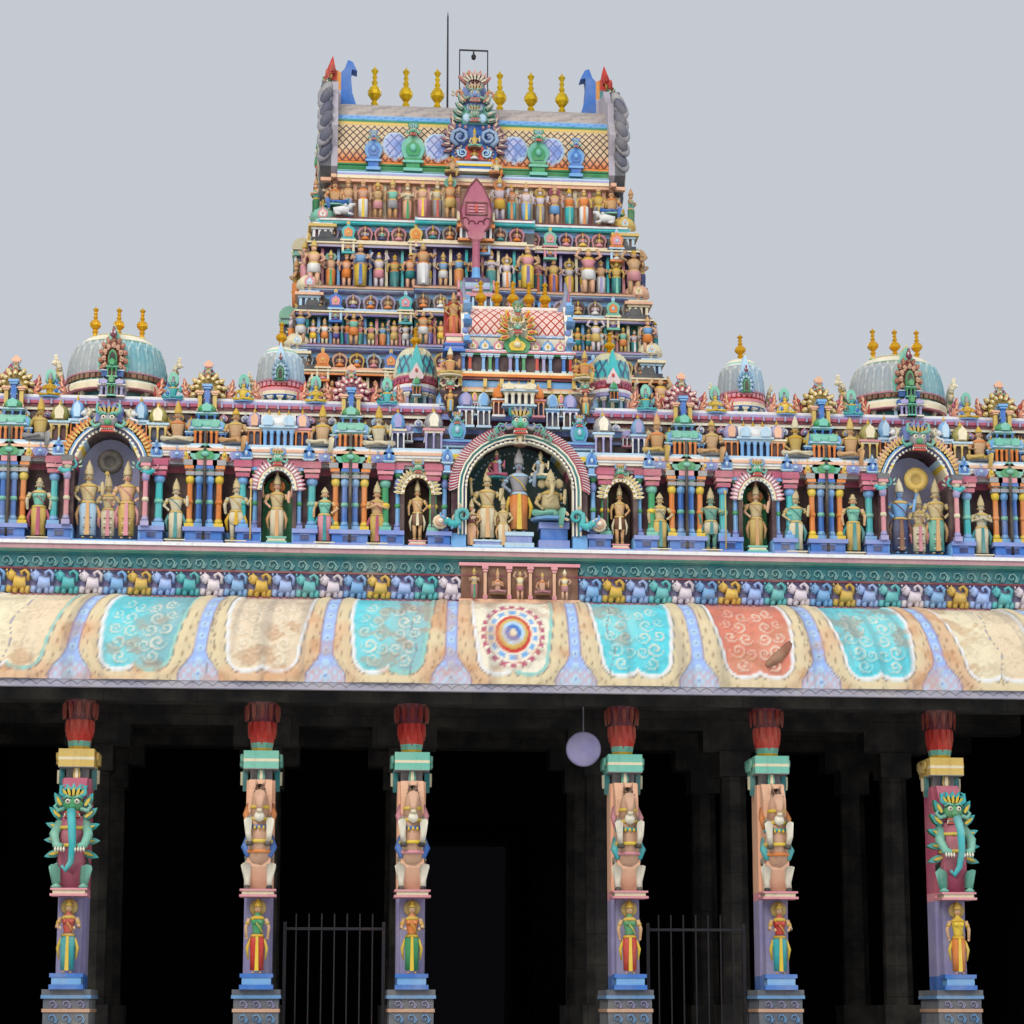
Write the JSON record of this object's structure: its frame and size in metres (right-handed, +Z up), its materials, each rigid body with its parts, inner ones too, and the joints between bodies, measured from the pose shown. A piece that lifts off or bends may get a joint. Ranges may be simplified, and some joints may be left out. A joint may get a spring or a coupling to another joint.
{
  "type": "gopuram gateway with pillared hall",
  "caption": "Painted temple gateway: pillared stone hall with a curved cornice and a parapet of niches and domes, before a hollow stepped gate tower with a barrel roof.",
  "frame": {"origin": "ground level, at the middle of the plan's bounding rectangle", "axes": "+Z up; the street front faces -Y; +X is to the right for someone who stands in the building and looks out at its rear court, +Y"},
  "size_m": [24.2, 22.21, 28],
  "materials": {
    "granite": "dressed granite, worn and smoke-darkened",
    "painted_stone": "carved granite under faded oil paint",
    "lime_plaster": "weathered lime plaster",
    "cornice_paint": "painted lime plaster, stained",
    "frieze_paint": "painted relief bands",
    "painted_plaster": "many-coloured paint on lime plaster",
    "figure_plaster": "painted stucco figures, satin",
    "dome_paint": "painted plaster, moulded relief",
    "roof_lattice": "painted lattice on plaster",
    "grey_plaster": "grey painted plaster",
    "gilded_metal": "gilded copper, slightly dull",
    "spear_paint": "matt rose paint",
    "dark_iron": "black paint, dull"
  },
  "bodies": {
    "root": {"hall_plinth": "granite", "entrance_steps": "granite", "gate_plinth": "granite", "front_pillar_1": "painted_stone", "front_pillar_2": "painted_stone", "front_pillar_3": "painted_stone", "front_pillar_4": "painted_stone", "front_pillar_5": "painted_stone", "front_pillar_6": "painted_stone", "front_pillar_7": "painted_stone", "front_pillar_8": "painted_stone", "inner_pillar_row_1": "granite", "inner_pillar_row_2": "granite", "front_beam": "granite", "side_wall_left": "granite", "side_wall_right": "granite", "back_wall_left": "granite", "back_wall_right": "granite", "back_wall_lintel": "granite", "roof_slab": "lime_plaster", "cornice_front": "cornice_paint", "cornice_left": "cornice_paint", "cornice_right": "cornice_paint", "frieze": "frieze_paint", "parapet_front": "painted_plaster", "parapet_left": "painted_plaster", "parapet_right": "painted_plaster", "parapet_deck": "painted_plaster", "big_dome_left": "dome_paint", "big_dome_right": "dome_paint", "small_dome_left": "dome_paint", "small_dome_right": "dome_paint", "lattice_dome_left": "dome_paint", "lattice_dome_right": "dome_paint", "centre_shrine": "painted_plaster", "centre_shrine_roof": "roof_lattice", "gate_base_left": "granite", "gate_base_right": "granite", "gate_lintel": "granite", "tower_storey_1": "painted_plaster", "tower_storey_2": "painted_plaster", "tower_storey_3": "painted_plaster", "tower_storey_4": "painted_plaster", "tower_storey_5": "painted_plaster", "tower_storey_6": "painted_plaster", "tower_neck": "painted_plaster", "barrel_roof": "roof_lattice", "roof_gable_left": "grey_plaster", "roof_gable_right": "grey_plaster", "ridge_finials": "gilded_metal", "roof_crest_front": "painted_plaster", "roof_crest_back": "painted_plaster", "spear": "spear_paint", "lamp_frame": "dark_iron", "lightning_rod": "dark_iron", "fence_left": "dark_iron", "fence_right": "dark_iron"}
  },
  "joints": []
}
